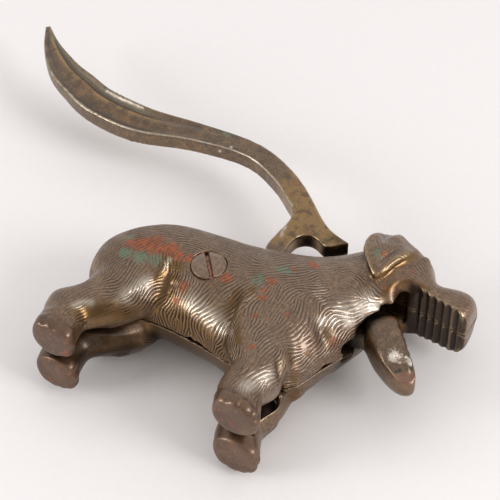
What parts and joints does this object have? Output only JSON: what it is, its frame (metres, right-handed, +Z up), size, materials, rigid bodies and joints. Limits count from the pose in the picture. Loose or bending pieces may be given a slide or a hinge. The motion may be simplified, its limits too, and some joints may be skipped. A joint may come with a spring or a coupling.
{
  "type": "dog nutcracker",
  "caption": "Cast brass dog that cracks nuts in its mouth: the long tail is a lever that works the lower jaw against a ridged palate.",
  "frame": {"origin": "on the surface under the middle of the part, which lies on its left side as pictured", "axes": "+X from the rump to the muzzle, +Y from the paws to the dog's back, +Z up from the left flank to the right flank"},
  "size_m": [0.2346, 0.1586, 0.0407],
  "materials": {
    "cast_brass": "worn brown patina over cast hair lines, with rust-red and green patches",
    "lever_brass": "worn brown patina, smooth",
    "pin_steel": "plain turned steel",
    "screw_brass": "worn, rusty in the slot"
  },
  "bodies": {
    "dog": {"right_body_half": "cast_brass", "left_body_half": "cast_brass", "pivot_pin": "pin_steel", "body_screw": "screw_brass"},
    "lever": {"tail_jaw_lever": "lever_brass"}
  },
  "joints": [
    {"name": "tail_jaw_pivot", "type": "hinge", "parent": "dog", "child": "lever", "pos_m": [0.07215, -0.01146, 0.02033], "axis": [0, 0, 1], "range_deg": [-6, 36]}
  ]
}
